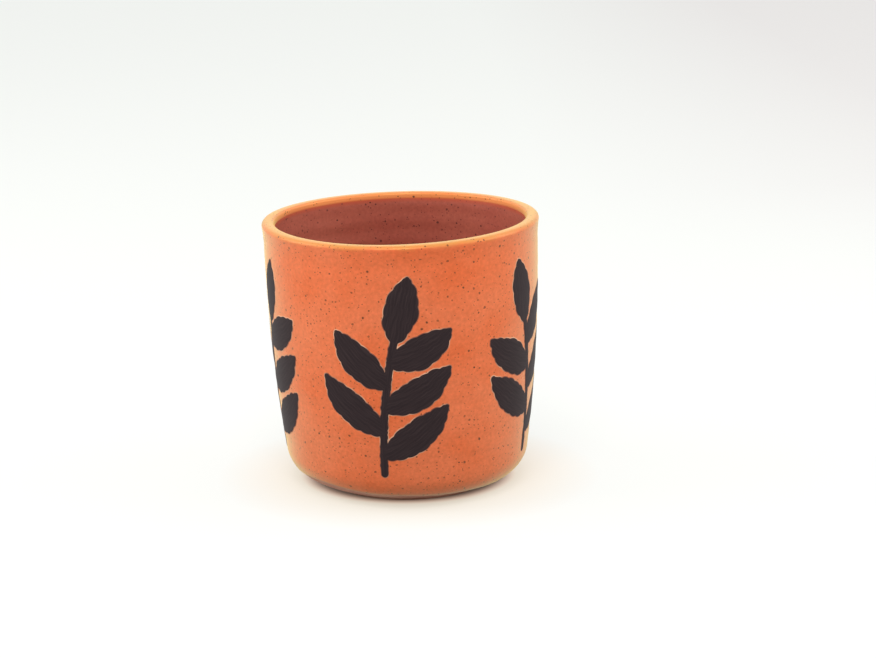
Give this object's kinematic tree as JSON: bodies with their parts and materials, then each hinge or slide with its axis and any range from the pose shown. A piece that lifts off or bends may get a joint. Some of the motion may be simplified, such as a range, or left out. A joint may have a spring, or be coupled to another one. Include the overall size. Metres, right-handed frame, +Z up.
{
  "type": "tumbler",
  "caption": "Straight-sided thrown stoneware tumbler with an orange glazed outside, a brown-red glazed lining, a bare clay foot and dark brushed leaf sprigs round the wall.",
  "frame": {"origin": "centre of the foot, on the surface that the tumbler stands on", "axes": "+Z up along the axis that the tumbler was thrown on, -Y towards the picture's camera"},
  "size_m": [0.088, 0.0881, 0.0863],
  "materials": {
    "stoneware": "bare fired stoneware, matt and speckled",
    "orange_glaze": "satin orange glaze with dark iron specks",
    "lining_glaze": "satin brown-red glaze with dark iron specks",
    "brushwork": "brushed brown-black underglaze, satin"
  },
  "bodies": {
    "root": {"clay_body": "stoneware", "outer_glaze": "orange_glaze", "lining_glaze": "lining_glaze", "leaf_sprig_1": "brushwork", "leaf_sprig_2": "brushwork", "leaf_sprig_3": "brushwork", "leaf_sprig_4": "brushwork", "leaf_sprig_5": "brushwork"}
  },
  "joints": []
}
